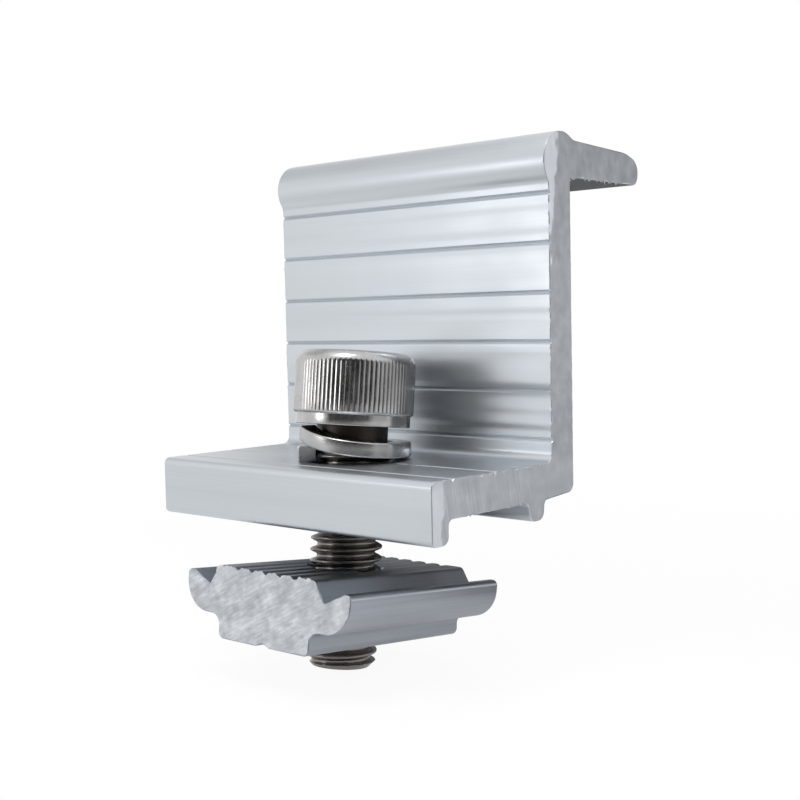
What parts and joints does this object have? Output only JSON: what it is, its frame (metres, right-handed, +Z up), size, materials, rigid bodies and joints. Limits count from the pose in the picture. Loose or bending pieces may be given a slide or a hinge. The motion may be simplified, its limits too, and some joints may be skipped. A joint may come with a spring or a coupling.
{
  "type": "solar end clamp",
  "caption": "Z-shaped aluminium end clamp with a knurled cap screw, split spring washer and threaded channel nut, to hold a panel frame's edge on a slotted rail.",
  "frame": {"origin": "middle of the front rib's underside, on the rail's top face", "axes": "+X along the clamp's extrusion, +Y from the foot's front towards the solar module, +Z up, away from the rail"},
  "size_m": [0.04, 0.041, 0.0568],
  "materials": {
    "clamp_aluminium": "satin extruded, saw-cut ends",
    "washer_steel": "bright drawn stainless",
    "screw_steel": "bright rolled stainless",
    "nut_aluminium": "mill extruded, saw-cut ends"
  },
  "bodies": {
    "clamp": {"clamp_body": "clamp_aluminium", "spring_washer": "washer_steel"},
    "screw": {"cap_screw": "screw_steel"},
    "nut": {"channel_nut": "nut_aluminium"}
  },
  "joints": [
    {"name": "screw_turn", "type": "hinge", "parent": "clamp", "child": "screw", "pos_m": [0, 0.00847, 0.00432], "axis": [0, 0.108, 0.9942], "range_deg": [-1080, 720]},
    {"name": "nut_travel", "type": "slide", "parent": "clamp", "child": "nut", "axis": [0, 0.108, 0.9942], "range_m": [-0.0025, 0.00375]}
  ],
  "couplings": [
    {"joint": "nut_travel", "follows": "screw_turn", "m_per_rad": -0.00019894}
  ]
}
